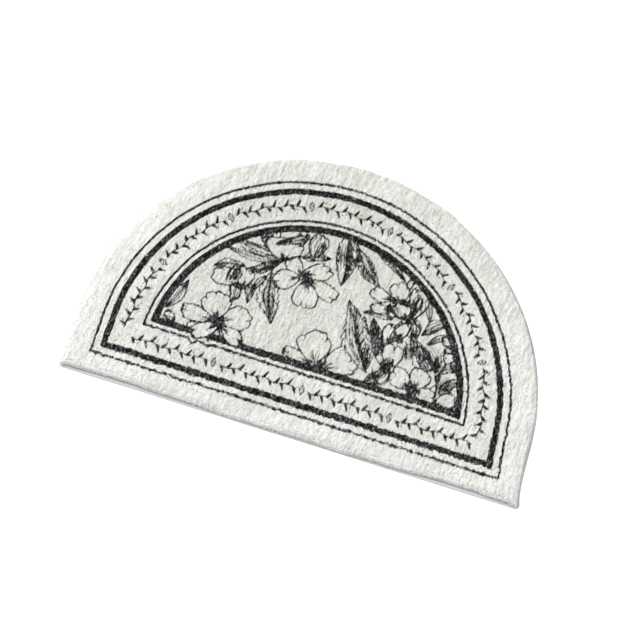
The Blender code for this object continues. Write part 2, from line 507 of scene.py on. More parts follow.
print(len(BLOSSOMS), "blossoms of", sum(len(row) - 1 for row in BLOSSOMS), "petals")

# %% The big leaf in front of them
leaf((88, -99), (30, 13), 48, 1, -1, 9, 1.1)
tuft((80, -84), (38, -2), 16, 4, 8)

# %% Dark hearts
HEARTS = (
    # x, y, reach, strokes
    (-172, -94, 18, 78),
    (-51, 26, 18, 40),
    (14, -117, 18, 62),
    (104, 37, 9, 24),
    (116, 39, 9, 24),
    (128, 37, 9, 24),
    (99, 23, 6, 14),
    (138, 9, 8, 22),
    (130, -28, 9, 24),
    (104, -52, 7, 14),
    (122, -82, 12, 38),
    (172, -106, 16, 56),
    (222, -14, 6, 14),
    (230, -48, 8, 10),
)
for row in HEARTS:
    heart(*row)
print("share of the canvas that is drawn on:", round(float((ink > 0.5).mean()), 4))

# %% [markdown]
# # The side flower, the cup and the buds
#
# Three flowers are seen from the side. A cup is one wide petal with points standing inside it, and
# a bud is an egg of folded petals with small leaves at its foot, so they reuse the same marks.

# %% Flowers seen from the side
# the cup: points that stand inside it, its wide petal, and a turned rim
CUP_POINTS = ((-122, 100, 22), (-72, 112, 24), (-97, 116, 34))
for tip_x, tip_y, width in CUP_POINTS:
    petal((-98, 56), (tip_x, tip_y), width, 3)
petal((-98, 46), (-103, 86), 64, 3)
petal((-116, 70), (-66, 99), 13, 1)
tuft((-112, 73), (-70, 98), 7, 4)
# the bud that lies to the left, with the narrow leaves at its foot
leaf((-156, 16), (-206, 0), 20, -3, 2, 6, 0.7)
petal((-150, -6), (-204, -16), 32, 4)
leaf((-140, -10), (-133, -46), 14, 1, 0, 0)
leaf((-154, -12), (-161, -53), 26, 0, 0, 0)
tuft((-176, -24), (-166, 16), 15, 10, 0, 1.5)
tuft((-172, -20), (-140, -24), 9, 6)
petal((-150, -20), (-151, 14), 31, 1)
tuft((-160, -14), (-159, 9), 8, 4)
tuft((-146, 4), (-140, 12), 8, 4)
heart(-138, 12, 7, 20)
tuft((-132, -6), (-130, -36), 6, 4)
# the upright bud, and one petal's end in the low left corner
petal((-50, 68), (-45, 111), 31, 2)
tuft((-49, 72), (-46, 108), 25, 9)
tuft((-36, 76), (-38, 104), 5, 3)
petal((-240, -114), (-258, -102), 14, 1)

# %% Long dark strokes
TUFTS = (
    # base x, base y, tip x, tip y, width, strokes, bow
    (-138, 18, -100, 42, 12, 4, -2),
    (-112, 54, -152, 90, 12, 3, 2),
    (-112, 50, -176, 60, 14, 4, 5),
    (-108, 8, -92, -52, 16, 3, -2),
    (-12, 106, 4, 50, 12, 3, 0),
    (34, 104, 70, 58, 9, 3, 0),
    (62, 2, 88, -44, 16, 5, 3),
    (74, -6, 100, -72, 16, 4, 5),
    (84, -16, 90, -92, 10, 3, 3),
    (70, -60, 88, -100, 12, 3, 0),
    (99, 34, 98, 10, 5, 3, 0),
    (104, 30, 120, 8, 14, 6, 0),
    (138, 24, 145, 64, 16, 5, -2),
    (134, 26, 142, 6, 10, 4, 0),
    (146, 12, 158, -16, 10, 3, 2),
    (104, -44, 140, -28, 9, 6, 6),
    (140, -24, 154, -66, 15, 9, 4),
    (108, -44, 106, -62, 7, 4, 0),
    (124, -60, 122, -84, 20, 7, 0),
    (150, -12, 216, -78, 16, 5, 15),
    (150, -20, 204, -72, 12, 3, 8),
    (160, -24, 178, -60, 14, 4, 4),
    (176, -40, 200, -66, 12, 3, -3),
    (196, -30, 214, -100, 12, 4, 3),
    (206, -24, 214, -60, 10, 3, -2),
    (112, -96, 98, -112, 14, 6, 0),
    (96, -84, 112, -116, 10, 4, 3),
    (214, -98, 244, -62, 10, 4, 7),
    (222, -98, 250, -80, 8, 3, 4),
    (150, 58, 156, 26, 8, 3, 0),
    (176, -6, 196, 22, 10, 3, 2),
)
for row in TUFTS:
    tuft(row[0:2], row[2:4], *row[4:7])
print(sum(row[5] for row in TUFTS), "long strokes")

# %% Stems
STEMS = (
    # start x, start y, end x, end y, bow, width
    (-95, 48, -44, 64, 5, 2.2),
    (-140, 12, -96, 46, -6, 2.0),
    (-110, 16, -96, 44, 4, 2.4),
    (0, 122, 24, 102, 4, 2.4),
    (139, 10, 100, 4, -4, 2.0),
    (139, 10, 112, -40, -8, 2.0),
    (142, -16, 216, -116, 22, 2.2),
    (92, -100, 84, -60, 3, 2.6),
    (-262, -112, -240, -114, 3, 1.6),
)
s = np.linspace(0, 1, 240)
for row in STEMS:
    pen(*along_line(row[0:2], row[2:4], s, row[4] * np.sin(np.pi * s)), row[5], 0.9)
print(len(STEMS), "stems")

# %% [markdown]
# # The frame of lines and the garland
#
# Thick and thin lines run all round, at steady steps in from the edge, and meet in sharp corners.
# Because the step inwards is a function, each line is one condition on it. Printed lines on pile
# are ragged, so the step wanders a little first. Between the frames runs a garland of leaves,
# berries and lozenges, which is drawn along the middle of that ring.

# %% Clip the flowers to the inner frame, then draw the lines
LINES = (
    # middle of the line from the print's edge, width, how far it is laid to the right, and ink,
    # which is over 1 where a thin line has to stay whole between the yarn ends
    (42.9, 2.5, 2.4, 1.5),
    (60.5, 9.7, 1.8, 1.0),
    (114.0, 2.6, 0.0, 1.5),
    (127.8, 11.2, 0.0, 1.0),
)
FIELD_EDGE = 126.0
LOBES = (
    # x, height and half width of two bends in the thin inner line, round petals that hang over it
    (-201, 7.0, 5),
    (-176, 3.6, 8),
)
THIN_INNER_LINE = 112  # roughly, as the bends lie within 8 mm of it

cell_x, cell_y = np.meshgrid(
    (np.arange(columns) + 0.5) * CELL - CANVAS_WIDTH / 2,
    (np.arange(rows) + 0.5) * CELL - CANVAS_DEPTH / 2,
)
step_in, sideways = print_step(cell_x, cell_y)
ink[step_in < FIELD_EDGE] = 0
lobes = sum(high * np.exp(-(((cell_x - place) / half) ** 2)) for place, high, half in LOBES)
lobes *= (np.abs(step_in - THIN_INNER_LINE) < 8) & (cell_y < -100)
# the print is roughest at the front right and evener towards the upper left
jagged = np.interp(cell_y - 0.35 * cell_x, (-260, 60), (1.7, 0.6))
wander = 0.5 * field(cell_x, cell_y, 22, 21) + jagged * field(cell_x, cell_y, 3.6, 22)
gaps = 0.3 * jagged * np.maximum(field(cell_x, cell_y, 2.8, 23) - 0.25, 0)
for middle, width, shift, load in LINES:
    off = np.abs(step_in + wander + lobes + shift * sideways - middle)
    line = load * np.clip((width / 2 - off) / 0.8 + 0.5, 0, 1) * (1 - gaps)
    ink = np.maximum(ink, line.astype(np.float32))
petal((-168, -98), (-206, -127), 27)
petal((-160, -100), (-124, -119), 26)
heart(-172, -95, 14, 40)
print("the frame has", len(LINES), "lines")

# %% The garland's path
GARLAND_INSET = 87.0
ring_radius = PRINT_RADIUS - GARLAND_INSET
side_leg = PRINT_SIDE - GARLAND_INSET
round_length = 2 * side_leg + np.pi * ring_radius
front_length = 2 * ring_radius + PRINT_SPREAD / 2


def round_path(s, n):
    """Place at s millimetres along the left side, the arc and the right side, n further out."""
    turned = np.pi - np.clip(s - side_leg, 0, np.pi * ring_radius) / ring_radius
    below = np.minimum(s - side_leg, 0) - np.maximum(s - side_leg - np.pi * ring_radius, 0)
    return (
        PRINT_CENTRE[0] + (ring_radius + n) * np.cos(turned),
        PRINT_CENTRE[1] + (ring_radius + n) * np.sin(turned) + below,
    )


def front_path(s, n):
    """Place at s millimetres along the front, from left to right, n nearer to the front edge."""
    return PRINT_CENTRE[0] - ring_radius + s, PRINT_FRONT + GARLAND_INSET - n + 0 * s


print("the garland runs", round(round_length), "mm round and", round(front_length), "mm in front")

# %% Draw the garland
GROUP = 118.0
LOZENGE_ROOM = 20.0
LEAF_PITCH = 10.4
VINE_SWING, VINE_WAVE = 2.0, 43.0
LEAF_AHEAD, LEAF_OUT, LEAF_CURL = 7.0, 11.4, 1.6  # how far a leaf runs on, reaches out and bends
BERRY_OUT = 6.4
LOZENGE_HALF = (4.4, 8.6)


def garland(path, length, ends):
    """Groups of a slender vine with leaves on both sides in turn, each a stroke that swells and
    thins, a berry by every third leaf, and a lozenge between groups. ends is the bare length kept
    at both ends."""
    groups = int((length - 2 * ends + LOZENGE_ROOM) // (GROUP + LOZENGE_ROOM))
    pitch = (length - 2 * ends + LOZENGE_ROOM) / groups
    vine = pitch - LOZENGE_ROOM
    u = np.linspace(0, 1, 40)
    for n in range(groups):
        start = ends + n * pitch
        s = np.linspace(0, vine, 900)
        pen(*path(start + s, VINE_SWING * np.sin(2 * np.pi * s / VINE_WAVE)), 1.5)
        stalk = np.arange(2.0, vine - 4, LEAF_PITCH)[:, None]
        side = np.where(np.arange(len(stalk)) % 2 == 0, 1, -1)[:, None]
        foot = VINE_SWING * np.sin(2 * np.pi * stalk / VINE_WAVE)
        reach = chance.uniform(0.9, 1.1, (len(stalk), 1))
        leaf_s = stalk + LEAF_AHEAD * reach * u
        leaf_n = foot + side * reach * (LEAF_OUT * u - LEAF_CURL * np.sin(np.pi * u))
        pen(*path(start + leaf_s, leaf_n), 1.2 + 3.0 * np.sin(np.pi * u**0.8) ** 0.9, 0.9)
        berry = slice(1, None, 3)
        pen(*path(start + stalk[berry] + 0.8, foot[berry] - side[berry] * BERRY_OUT), 2.6)
        if n < groups - 1:
            middle = start + vine + LOZENGE_ROOM / 2
            t = np.linspace(0, 4, 160)
            way = LOZENGE_HALF[0] * np.interp(t, range(5), (0, 1, 0, -1, 0))
            out = LOZENGE_HALF[1] * np.interp(t, range(5), (1, 0, -1, 0, 1))
            pen(*path(middle + way, out), 1.5)
            pen(*path(middle + np.array([0.0]), np.array([0.0])), 2.8)


garland(round_path, round_length, 12)
garland(front_path, front_length, 14)
print("ink on", round(float((ink > 0.5).mean()) * 100, 1), "% of the canvas")

# %% [markdown]
# # From the canvas to the pile
#
# The yarn ends are about as far apart as a pen line is wide, so a line read straight off the
# canvas would break up. The canvas is softened first, by a little more than half a millimetre.
# Then each point knows how near a line is, and the material can put the line's edge where the ink
# passes a set amount, between the points. That keeps the lines whole.

# %% Soften the canvas
SOFTNESS = 0.62
shifts = np.arange(-4, 5)
weights = np.exp(-((shifts * CELL / SOFTNESS) ** 2) / 2)
weights /= weights.sum()
for axis in (0, 1):
    ink = sum(weight * np.roll(ink, shift, axis) for weight, shift in zip(weights, shifts))
print("a cell keeps", round(float(weights.max() ** 2), 3), "of its own ink")


def on_canvas(x, y):
    """Places on the rug, in metres, as places on the canvas, in millimetres."""
    return (x - PRINT_PLACE[0]) * 1000, (y - PRINT_PLACE[1]) * 1000


def ink_at(x, y):
    """Ink at places in metres, blended between the four cells round each."""
    column, row = to_cells(*on_canvas(x, y))
    column, row = np.clip(column, 0, columns - 1.001), np.clip(row, 0, rows - 1.001)
    left, low = column.astype(int), row.astype(int)
    s, t = column - left, row - low
    bottom = ink[low, left] * (1 - s) + ink[low, left + 1] * s
    top = ink[low + 1, left] * (1 - s) + ink[low + 1, left + 1] * s
    return bottom * (1 - t) + top * t


# %% [markdown]
# # Materials
#
# One small function adds a node with its settings and links, and one turns a hex colour as a
# screen shows it into the linear numbers that the shader wants.

# %% Helpers for materials
def linear(hex_colour):
    """Linear RGBA of an sRGB hex colour: divided by 12.92 near black, a 2.4 power above."""
    srgb = np.array([int(hex_colour[i : i + 2], 16) for i in (0, 2, 4)]) / 255
    value = np.where(srgb <= 0.04045, srgb / 12.92, ((srgb + 0.055) / 1.055) ** 2.4)
    return (*value.tolist(), 1.0)


def add_node(tree, kind, inputs=None, **settings):
    """Adds one node. settings are its own properties, and inputs gives each socket, by name or by
    number, a value or another node's output to link from."""
    node = tree.nodes.new(kind)
    for name, value in settings.items():
        setattr(node, name, value)
    for socket, value in (inputs or {}).items():
        if isinstance(value, bpy.types.NodeSocket):
            tree.links.new(value, node.inputs[socket])
        else:
            node.inputs[socket].default_value = value
    return node


def new_material(name, roughness, sheen, specular):
    """A Principled material and its tree and shader, with the values that are the same all over."""
    material = bpy.data.materials.new(name)
    material.use_nodes = True
    shader = material.node_tree.nodes["Principled BSDF"]
    shader.inputs["Roughness"].default_value = roughness
    shader.inputs["Sheen Weight"].default_value = sheen
    shader.inputs["Sheen Roughness"].default_value = 0.5
    shader.inputs["Specular IOR Level"].default_value = specular
    return material, material.node_tree, shader


# %% [markdown]
# # The plush pile
#
# The pile of such a rug is polyester microfibre, cut short and brushed. Light sinks in between the
# ends, so it has no gloss at all, only a pale sheen where fibres lean away, and every hollow is
# darker than the tips; the material also paints that shade in, giving the roots a darker colour
# than the tips. The ink dyes the tips charcoal and leaves a few of them pale. The material reads four
# numbers that each yarn end carries: its ink, how far up the end a point is, which sets the painted
# root shade, its tone, which varies at random and with the print and also holds painted light, one
# flank of each ridge and the left of the rug painted paler, and how much of the dye has washed out of
# it.

# %% The microfibre material
FIBRE_MM = 0.5  # real fibres are ten times finer, and this is the finest that shows
NOISE_PER_CELL = 2  # with its finer detail, a noise has about two humps to a cell
pile_material, tree, shader = new_material("brushed_polyester_microfibre", 0.95, 0.08, 0.1)

ink_value, height_value, tone_with_painted_light, washed_value = (
    add_node(tree, "ShaderNodeAttribute", attribute_name=name).outputs["Fac"]
    for name in ("ink", "up_the_end", "tone", "washed")
)
place = add_node(tree, "ShaderNodeTexCoord").outputs["Object"]
fibres = add_node(
    tree,
    "ShaderNodeTexNoise",
    {"Vector": place, "Scale": 1000 / FIBRE_MM / NOISE_PER_CELL, "Detail": 2.0},
).outputs["Fac"]
# painted shade: the roots, at up_the_end 0, are given a darker colour than the tips
yarn = add_node(
    tree,
    "ShaderNodeMix",
    {"Factor": height_value, 6: linear("E6E6E2"), 7: linear("F9F9F7")},
    data_type="RGBA",
).outputs[2]
# the tone greys the yarn at random and with the print, and also holds painted light and shade on the
# ridges' flanks and a painted highlight at the left
toned_with_painted_light = add_node(
    tree,
    "ShaderNodeMix",
    {"Factor": tone_with_painted_light, 6: yarn, 7: linear("DCDBD3")},
    data_type="RGBA",
).outputs[2]
charcoal = add_node(
    tree,
    "ShaderNodeMix",
    {"Factor": washed_value, 6: linear("0D1011"), 7: linear("767B7A")},
    data_type="RGBA",
).outputs[2]
printed = add_node(
    tree,
    "ShaderNodeMapRange",
    {"Value": ink_value, "From Min": 0.1, "From Max": 0.6},
    interpolation_type="SMOOTHSTEP",
).outputs["Result"]
dyed = add_node(
    tree,
    "ShaderNodeMix",
    {"Factor": printed, 6: toned_with_painted_light, 7: charcoal},
    data_type="RGBA",
).outputs[2]
tree.links.new(dyed, shader.inputs["Base Color"])
bump = add_node(tree, "ShaderNodeBump", {"Height": fibres, "Strength": 0.35, "Distance": 0.0003})
tree.links.new(bump.outputs["Normal"], shader.inputs["Normal"])
print(pile_material.name, "has", len(tree.nodes), "nodes")

# %% [markdown]
# # From arrays to a piece
#
# Every new piece below is worked out as whole arrays of points and faces, and then handed to
# Blender in one go. The same small function does that for all of them, names the piece, gives it
# its finish and says which body it moves with.

# %% A function that makes a piece of arrays
def make_piece(name, points, faces, material, numbers=None, smooth=True):
    """A mesh object from an (n, 3) array of points and an (m, k) array of faces, with the vertex
    numbers that its material reads. It lies at the origin, so its place is in its points. smooth
    says which faces are shaded round, as one answer or as a run that repeats."""
    mesh = bpy.data.meshes.new(name)
    sides = faces.shape[1]
    mesh.vertices.add(len(points))
    mesh.vertices.foreach_set("co", np.asarray(points, np.float32).ravel())
    mesh.loops.add(faces.size)
    mesh.loops.foreach_set("vertex_index", faces.astype(np.int32).ravel())
    mesh.polygons.add(len(faces))
    mesh.polygons.foreach_set("loop_start", np.arange(0, faces.size, sides, dtype=np.int32))
    mesh.update(calc_edges=True)
    mesh.polygons.foreach_set("use_smooth", np.resize(smooth, len(faces)))
    for key, values in (numbers or {}).items():
        attribute = mesh.attributes.new(key, "FLOAT", "POINT")
        attribute.data.foreach_set("value", np.asarray(values, np.float32).ravel())
    mesh.materials.append(material)
    piece = bpy.data.objects.new(name, mesh)
    bpy.context.scene.collection.objects.link(piece)
    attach(piece, "root")
    print(name, len(points), "points,", len(faces) * (sides - 2), "triangles")
    return piece


def ring_faces(around, rings):
    """Quads between rings of the same number of points, each ring closed on itself."""
    column, row = np.meshgrid(np.arange(around), np.arange(rings - 1))
    here = row * around + column
    beside = row * around + (column + 1) % around
    return np.stack([here, beside, beside + around, here + around], -1).reshape(-1, 4)


# %% [markdown]
# # The ground cloth
#
# Under the pile lies the woven cloth that holds it. It hardly shows, but without it light would
# pass between the yarn ends. It is a thin closed slab: rings of the outline, pulled in towards the
# middle on top, and the same below. The print sinks through to it, so it carries ink too.

# %% Make the ground cloth
CLOTH_STEP = 0.0036
CLOTH_RINGS = 74
UNDER_RINGS = 14
MIDDLE = np.array([0.0, -0.01])
SMALLEST = 0.004  # the innermost ring's share, before the point that closes it
CLOTH_TOP = TAPE_HEIGHT + GAP

stretch, along = walk(CLOTH_STEP)
edge_x, edge_y = outline(TAPE_WIDTH + GAP, stretch, along)


def cloth_rings(shares, height):
    """Rings of the cloth's edge, each shrunk to a share of its size about the middle."""
    x = MIDDLE[0] + shares[:, None] * (edge_x - MIDDLE[0])
    y = MIDDLE[1] + shares[:, None] * (edge_y - MIDDLE[1])
    return np.stack([x, y, np.full_like(x, height)], -1)


under = cloth_rings(np.linspace(SMALLEST, 1, UNDER_RINGS), 0.0)
top = cloth_rings(np.linspace(1, SMALLEST, CLOTH_RINGS), CLOTH_TOP)
cloth_points = np.concatenate([under, top]).reshape(-1, 3)
ring_count = UNDER_RINGS + CLOTH_RINGS
around = len(stretch)
cloth_faces = ring_faces(around, ring_count)
poles = np.array([[*MIDDLE, 0.0], [*MIDDLE, CLOTH_TOP]])
ring_of_points = np.arange(around)
next_points = (ring_of_points + 1) % around
last = (ring_count - 1) * around
below, above = len(cloth_points), len(cloth_points) + 1
caps = np.concatenate(
    [
        np.stack([next_points, ring_of_points, np.full(around, below)], -1),
        np.stack([last + ring_of_points, last + next_points, np.full(around, above)], -1),
    ]
)
cloth_triangles = np.concatenate([cloth_faces[:, [0, 1, 2]], cloth_faces[:, [0, 2, 3]], caps])
cloth_points = np.concatenate([cloth_points, poles])
cloth_ink = np.where(
    cloth_points[:, 2] > 0, 0.9 * ink_at(cloth_points[:, 0], cloth_points[:, 1]), 0
)
# with up_the_end at 0 the cloth takes the roots' darker colour, painted shade
ground_cloth = make_piece(
    "ground_cloth",
    cloth_points,
    cloth_triangles,
    pile_material,
    {"ink": cloth_ink, "up_the_end": 0 * cloth_ink, "tone": 0 * cloth_ink, "washed": 0 * cloth_ink},
)
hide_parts("plush_panel")

# %% A flat map for baking the cloth
corner_points = cloth_points[cloth_triangles]
flat_uv = 0.01 + 0.98 * (corner_points[..., :2] + [RUG_WIDTH / 2, RUG_DEPTH / 2]) / RUG_WIDTH
small_uv = 0.5 * flat_uv + [0.0, 0.65]  # the plain underside lies above it, at half the size
is_under = (corner_points[..., 2].max(1) == 0)[:, None, None]
layer = ground_cloth.data.uv_layers.new(name="OFBake")
layer.data.foreach_set("uv", np.where(is_under, small_uv, flat_uv).astype(np.float32).ravel())
print("the top takes", round(float(flat_uv[..., 1].max()), 2), "of the map's height")

# %% [markdown]
# # Nearly eighty thousand yarn ends
#
# Blender's hair could grow a pile like this, but hair has no solid surface, so a model that leaves
# Blender would lose it. Here every yarn end is a small closed cone of ten triangles with a wide
# belly. They stand on a grid of about two millimetres that is shaken up. Brushed ends gather into
# locks, longer than wide because the pile is combed to the front, so each tip is pulled towards
# the middle of its lock and the ends between locks are shorter. Round the rim the ends lean out
# over the tape.

# %% Where the tips stand
PITCH = 0.00208
RIM_INSET = 0.0042
BARE_INSET = 0.0048
BARE_PLACE = 0.71
BARE_SPAN = 0.23
RIM_WAVE = 0.0005
BRUSHED_OVER = 0.0026  # the pile hides this much more of the tape round the top and the left
SWELL = 0.0004
SHAKE = 0.29 * PITCH

rng = np.random.default_rng(5)


def rim_inset(x, y, front):
    """How far in from the tape's edge the pile begins: steady, with a slow wave, and further in
    along two stretches of the front edge, where more of the tape shows."""
    turns = np.arctan2(y, x)
    wave = RIM_WAVE * (np.sin(11 * turns) + np.sin(17 * turns + 1.3))
    brushed = BRUSHED_OVER * np.clip((0.30 - x) / 0.15, 0, 1) * ~front
    from_middle = np.abs(x) / (RUG_WIDTH / 2)
    bare = BARE_INSET * np.exp(-(((from_middle - BARE_PLACE) / BARE_SPAN) ** 2))
    return RIM_INSET + wave + np.where(front, bare, 0) - brushed


def swell(x, y):
    """The top's soft unevenness: three slow waves that cross at odd angles."""
    waves = np.sin(52 * x + 17 * y) + np.sin(71 * y - 23 * x + 0.8) + np.sin(38 * x - 46 * y + 2.1)
    return SWELL * waves


grid_x, grid_y = np.meshgrid(
    np.arange(-RUG_WIDTH / 2, RUG_WIDTH / 2, PITCH), np.arange(FRONT_Y, -FRONT_Y, PITCH * 0.95)
)
grid_x[1::2] += PITCH / 2
grid_x = (grid_x + rng.uniform(-SHAKE, SHAKE, grid_x.shape)).ravel()
grid_y = (grid_y + rng.uniform(-SHAKE, SHAKE, grid_y.shape)).ravel()
inset, inward_x, inward_y = inset_of(grid_x, grid_y)
from_rim = inset - rim_inset(grid_x, grid_y, inward_y > 0.999)
kept = from_rim > 0.0002
x, y, inset, from_rim, inward_x, inward_y = (
    a[kept] for a in (grid_x, grid_y, inset, from_rim, inward_x, inward_y)
)
ends = len(x)
print(ends, "yarn ends")


# %% Locks of yarn
def locks(x, y, size_x, size_y, seed):
    """For each place: the way to the middle of its lock, how far out in the lock it is, from 0 to
    about 1, and the lock's own random number, from -1 to 1. A lock is what lies nearest to one of
    many shaken grid points."""
    rng = np.random.default_rng(seed)
    shake = rng.uniform(0.1, 0.9, (2, LATTICE, LATTICE))
    own = rng.uniform(-1, 1, (LATTICE, LATTICE))
    column, row = np.floor(x / size_x).astype(int), np.floor(y / size_y).astype(int)
    best = np.full(len(x), np.inf)
    way_x, way_y, random = np.zeros((3, len(x)))
    for right in (-1, 0, 1):
        for up in (-1, 0, 1):
            c, r = (column + right) % LATTICE, (row + up) % LATTICE
            to_x = (column + right + shake[0][r, c]) * size_x - x
            to_y = (row + up + shake[1][r, c]) * size_y - y
            far = np.hypot(to_x / size_x, to_y / size_y)
            nearer = far < best
            best = np.where(nearer, far, best)
            way_x, way_y = np.where(nearer, to_x, way_x), np.where(nearer, to_y, way_y)
            random = np.where(nearer, own[r, c], random)
    return way_x, way_y, np.clip(best / 0.75, 0, 1), random


LOCK_SIZE = (0.0041, 0.0118)
COMB_LEAN = 0.15  # how far the locks lean to the right for each step up


def across_comb(x, y):
    """How far a place lies across the comb's way, with a slow wave so that no lock is straight."""
    return x - COMB_LEAN * y + 0.0022 * field(x, y, 0.014, 31)


def combed(x, y, width, length, seed):
    """Smooth random number from -1 to 1 that changes over width across the comb and over length
    along it: the same field, read on an axis that is shortened to match."""
    return field(across_comb(x, y), y * width / length, width, seed)


def relief(x, y):
    """Ridges of the combed locks, from about -1 to 1, with finer ones on them."""
    return 0.72 * combed(x, y, 0.0036, 0.0105, 51) + 0.42 * combed(x, y, 0.0021, 0.0052, 52)


way_x, way_y, outness, own = locks(across_comb(x, y), y, *LOCK_SIZE, 33)
print("an end is", round(float(np.hypot(way_x, way_y).mean()) * 1000, 1), "mm from its lock's middle")

# %% Heights, roots and tips
SHOULDER = (
    # step in from the pile's edge, height of the tips
    (0.0, 0.0074),
    (0.0008, 0.0098),
    (0.0036, 0.0124),
    (0.0100, PILE_TOP),
)
LOCK_PULL = 0.07
LOCK_DROP = 0.0003
RELIEF = 0.0013  # the ridges rise and fall by this much
COMB = 0.0008  # the comb drags the tips this far to the front
ROOT_STEP = TAPE_WIDTH + 0.0016  # the outermost roots, from the tape's outer edge
OVERHANG_SPAN = 0.0065
CALM_RIM = 0.006  # nearer to the rim than this the top is evener
FRONT_TIPS = 0.0032  # no tip comes nearer than this to the front edge
TIP_SCATTER, HEIGHT_SCATTER = 0.00018, 0.0001

steps, heights = zip(*SHOULDER)
tip_z = np.interp(from_rim, steps, heights) + np.where(from_rim > CALM_RIM, swell(x, y), 0)
calm = 1 - 0.4 * np.clip((-0.18 - x) / 0.15, 0, 1)  # the pile is pressed flatter at the left
inner = np.clip(from_rim / CALM_RIM, 0.3, 1) * calm
tip_z -= (0.8 * RELIEF + LOCK_DROP * outness**1.6) * inner
tip_z += rng.normal(0, HEIGHT_SCATTER, ends)
over = np.maximum(ROOT_STEP - (inset - from_rim), 0) * np.exp(-from_rim / OVERHANG_SPAN)
root_x = x + inward_x * over
root_y = y + inward_y * over
pull = LOCK_PULL * np.clip(from_rim / 0.005, 0, 1)
nap = 0.0007 * field(x, y, 0.05, 35)
tip_x = x + pull * way_x + nap + rng.normal(0, TIP_SCATTER, ends)
tip_y = y + pull * way_y - COMB + rng.normal(0, TIP_SCATTER, ends)
tip_y = np.maximum(tip_y, FRONT_Y + FRONT_TIPS)
level_z = tip_z
tip_z = level_z + RELIEF * inner * relief(tip_x, tip_y)
print("tips stand", round(float(np.median(tip_z)) * 1000, 1), "mm up, in the middle of the range")

# %% The cones, as whole arrays
CAP_RISE = 0.0006  # from the belly to the tip
ROOT_RADIUS = 0.0011
BELLY_RADIUS = 0.0021
STRETCH = 0.5  # an end is this much longer along the comb
ROOT_Z = CLOTH_TOP - 0.0006  # the roots stand a little way down in the cloth
BLANK_BORDER = 38  # as far in as this from the print's edge nothing is printed
WIDE_ENDS = 1.12  # there the ends are this much wider, so that less dark shows between them

corner_turn = rng.uniform(0, 2 * np.pi, (ends, 1)) + np.arange(3) * 2 * np.pi / 3
print_in = print_step(*on_canvas(x, y))[0]
size = rng.uniform(0.88, 1.12, (ends, 1))
size *= np.where(print_in < BLANK_BORDER, WIDE_ENDS, 1.0)[:, None]
stretch_by = STRETCH * np.clip(from_rim / CALM_RIM, 0, 1)[:, None]
comb_way = np.array([COMB_LEAN, 1.0]) / np.hypot(COMB_LEAN, 1)
side_step = BELLY_RADIUS * size * np.cos(corner_turn) * (1 - 0.4 * stretch_by)
comb_step = BELLY_RADIUS * size * np.sin(corner_turn) * (1 + stretch_by)
around_x = side_step * comb_way[1] + comb_step * comb_way[0]
around_y = comb_step * comb_way[1] - side_step * comb_way[0]
belly_x = tip_x[:, None] + around_x
belly_y = tip_y[:, None] + around_y
points = np.empty((ends, 7, 3))
points[:, 0:3, 0] = root_x[:, None] + ROOT_RADIUS * size * np.cos(corner_turn)
points[:, 0:3, 1] = root_y[:, None] + ROOT_RADIUS * size * np.sin(corner_turn)
points[:, 0:3, 2] = ROOT_Z
points[:, 3:6, 0] = belly_x
points[:, 3:6, 1] = belly_y
points[:, 3:6, 2] = level_z[:, None] - CAP_RISE + RELIEF * inner[:, None] * relief(belly_x, belly_y)
points[:, 3:6, 2] += rng.normal(0, HEIGHT_SCATTER, (ends, 3))
points[:, 6] = np.stack([tip_x, tip_y, tip_z], -1)

# points 0 to 2 are the root, 3 to 5 the belly and 6 the tip
ROOT_FACE = ((0, 2, 1),)
SIDE_FACES = ((0, 1, 4), (0, 4, 3), (1, 2, 5), (1, 5, 4), (2, 0, 3), (2, 3, 5))
CAP_FACES = ((3, 4, 6), (4, 5, 6), (5, 3, 6))
END_FACES = np.array(ROOT_FACE + SIDE_FACES + CAP_FACES)
print("a yarn end has", len(END_FACES), "triangles")

# %% Ink and tone of every point
LOCK_SHIFT = ((-0.25, 0.0009), (0.10, 0.0004))  # y, and how far a lock carries the print there
HAZE = ((60, 0), (62, 0.12), (125, 0.12), (130, 0.36))  # step in on the print, and tone added
MISSED = 0.02  # the share of the ends that take only part of their ink
shift_y = own * np.interp(y, *zip(*LOCK_SHIFT))
sample_x = np.hstack([belly_x, belly_x, tip_x[:, None]])
sample_y = np.hstack([belly_y, belly_y, tip_y[:, None]]) + shift_y[:, None]
missed = np.where(rng.random(ends) < MISSED, rng.uniform(0.3, 0.6, ends), 1.0)
end_ink = ink_at(sample_x, sample_y) * missed[:, None]
haze = np.interp(print_in, *zip(*HAZE))
# the pile is greyer towards the top of the arc, and paler at the left: a painted highlight from the
# left's light
upper = 0.3 * np.clip((y - 0.02) / 0.15, 0, 1) - 0.1 * np.clip((-0.2 - x) / 0.15, 0, 1)
# painted light and shade: the relief's ridges, a little to one side, so the left flank of each is paler
painted_flank_light = combed(x + 0.0009, y, 0.0036, 0.0105, 51)
grain = rng.normal(0, 0.11, ends)
end_tone_with_painted_light = 0.32 + haze + upper - 0.42 * painted_flank_light + 0.08 * field(x, y, 0.03, 36) + grain
end_tone_with_painted_light = np.clip(end_tone_with_painted_light, 0, 1)
fleck = 0.5 * combed(x, y, 0.0024, 0.0048, 53) + 0.6 * rng.uniform(-1, 1, ends)
front_wash = np.interp(y, (-0.2, 0.15), (0.16, 0.0))
end_wash = np.clip(front_wash + 0.04 + 1.1 * (fleck - 0.12), 0, 1)
# roots 0, belly 0.85 and tip 1, so the material paints the roots darker: painted shade in the hollows
up_the_end = np.broadcast_to([0, 0, 0, 0.85, 0.85, 0.85, 1.0], (ends, 7))
print("a yarn end's tone is", round(float(end_tone_with_painted_light.mean()), 2), "on average")

# %% Split the pile into strips and make them
STRIPS = 4
strip_of = np.digitize(x, np.quantile(x, np.arange(1, STRIPS) / STRIPS))


